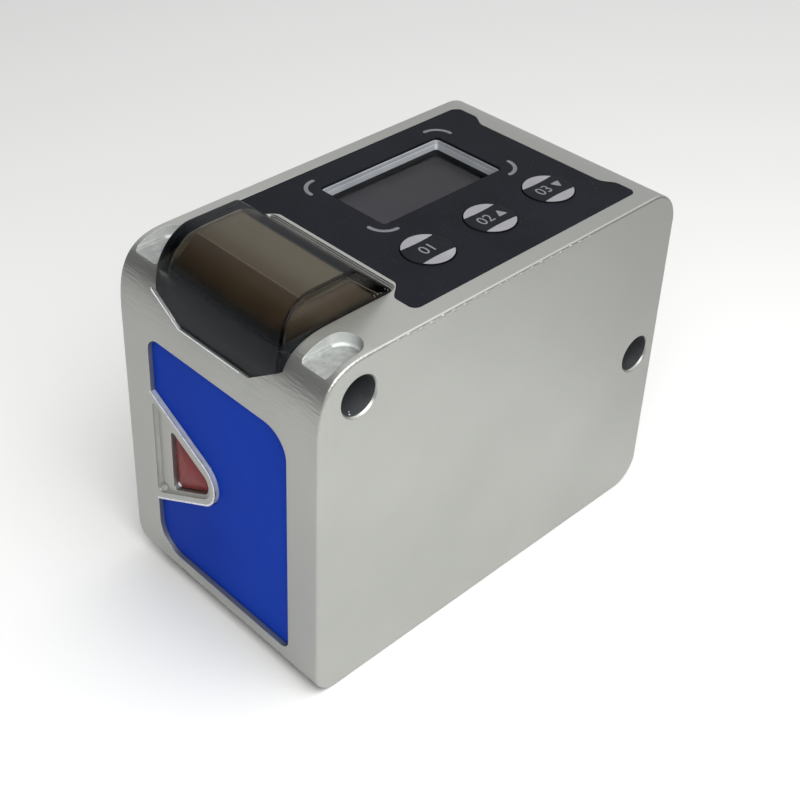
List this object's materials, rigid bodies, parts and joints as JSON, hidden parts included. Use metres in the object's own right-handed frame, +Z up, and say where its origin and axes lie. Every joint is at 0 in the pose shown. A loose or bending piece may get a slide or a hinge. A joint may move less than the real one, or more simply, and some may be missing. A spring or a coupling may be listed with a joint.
{
  "type": "laser distance sensor",
  "caption": "Compact laser distance sensor with a smoked indicator hood, a blue receiver window and a control panel with a display and push buttons.",
  "frame": {"origin": "middle of the base face", "axes": "+X across the width, to the right for someone facing the front window; +Y back from the front face with the windows, along the depth; +Z up from the base towards the control panel"},
  "size_m": [0.03, 0.0559, 0.0442],
  "materials": {
    "cast_metal": "satin, silver lacquer on a fine cast surface",
    "smoked_plastic": "smoked, translucent, brown",
    "black_plastic": "matte black, moulded",
    "clear_plastic": "clear to milky, polished",
    "blue_plastic": "blue filter sheet, satin",
    "red_plastic": "red filter, polished",
    "panel_film": "satin black printed film",
    "key_plastic": "satin grey film over black",
    "screen_glass": "clear cover glass",
    "lens_glass": "polished, coated",
    "screen_cell": "dark display cell",
    "white_plastic": "matte white",
    "board_laminate": "green solder mask",
    "chip_plastic": "matte black",
    "screw_steel": "plain zinc-plated",
    "barrel_brass": "turned",
    "gold_plate": "gold-plated",
    "seal_rubber": "matte",
    "gland_plastic": "matte, moulded"
  },
  "bodies": {
    "sensor_body": {"housing": "cast_metal", "side_cover": "cast_metal", "cover_seal": "seal_rubber", "cover_screws": "screw_steel", "indicator_hood": "smoked_plastic", "indicator_frame": "black_plastic", "light_guide": "clear_plastic", "indicator_board": "board_laminate", "indicator_lamps": "white_plastic", "front_window": "blue_plastic", "emitter_window": "red_plastic", "control_panel": "panel_film", "display_glass": "screen_glass", "display_cell": "screen_cell", "display_holder": "white_plastic", "panel_board": "board_laminate", "key_switches": "screw_steel", "panel_screws": "screw_steel", "optics_block": "black_plastic", "receiver_lens": "lens_glass", "laser_barrel": "barrel_brass", "collimator_lens": "lens_glass", "laser_diode": "gold_plate", "laser_board": "board_laminate", "sensor_board": "board_laminate", "image_sensor": "chip_plastic", "optics_screws": "screw_steel", "main_board": "board_laminate", "processor_chip": "chip_plastic", "power_parts": "chip_plastic", "cable_socket": "white_plastic", "board_screws": "screw_steel", "cable_gland": "gland_plastic", "gland_nut": "screw_steel", "gland_seal": "seal_rubber"},
    "set_key": {"set_button": "key_plastic"},
    "select_key": {"select_button": "key_plastic"},
    "mode_key": {"mode_button": "key_plastic"}
  },
  "joints": [
    {"name": "set_press", "type": "slide", "parent": "sensor_body", "child": "set_key", "axis": [0, 0, -1], "range_m": [0, 0.0004], "stiffness_N_per_m": 5000},
    {"name": "select_press", "type": "slide", "parent": "sensor_body", "child": "select_key", "axis": [0, 0, -1], "range_m": [0, 0.0004], "stiffness_N_per_m": 5000},
    {"name": "mode_press", "type": "slide", "parent": "sensor_body", "child": "mode_key", "axis": [0, 0, -1], "range_m": [0, 0.0004], "stiffness_N_per_m": 5000}
  ]
}
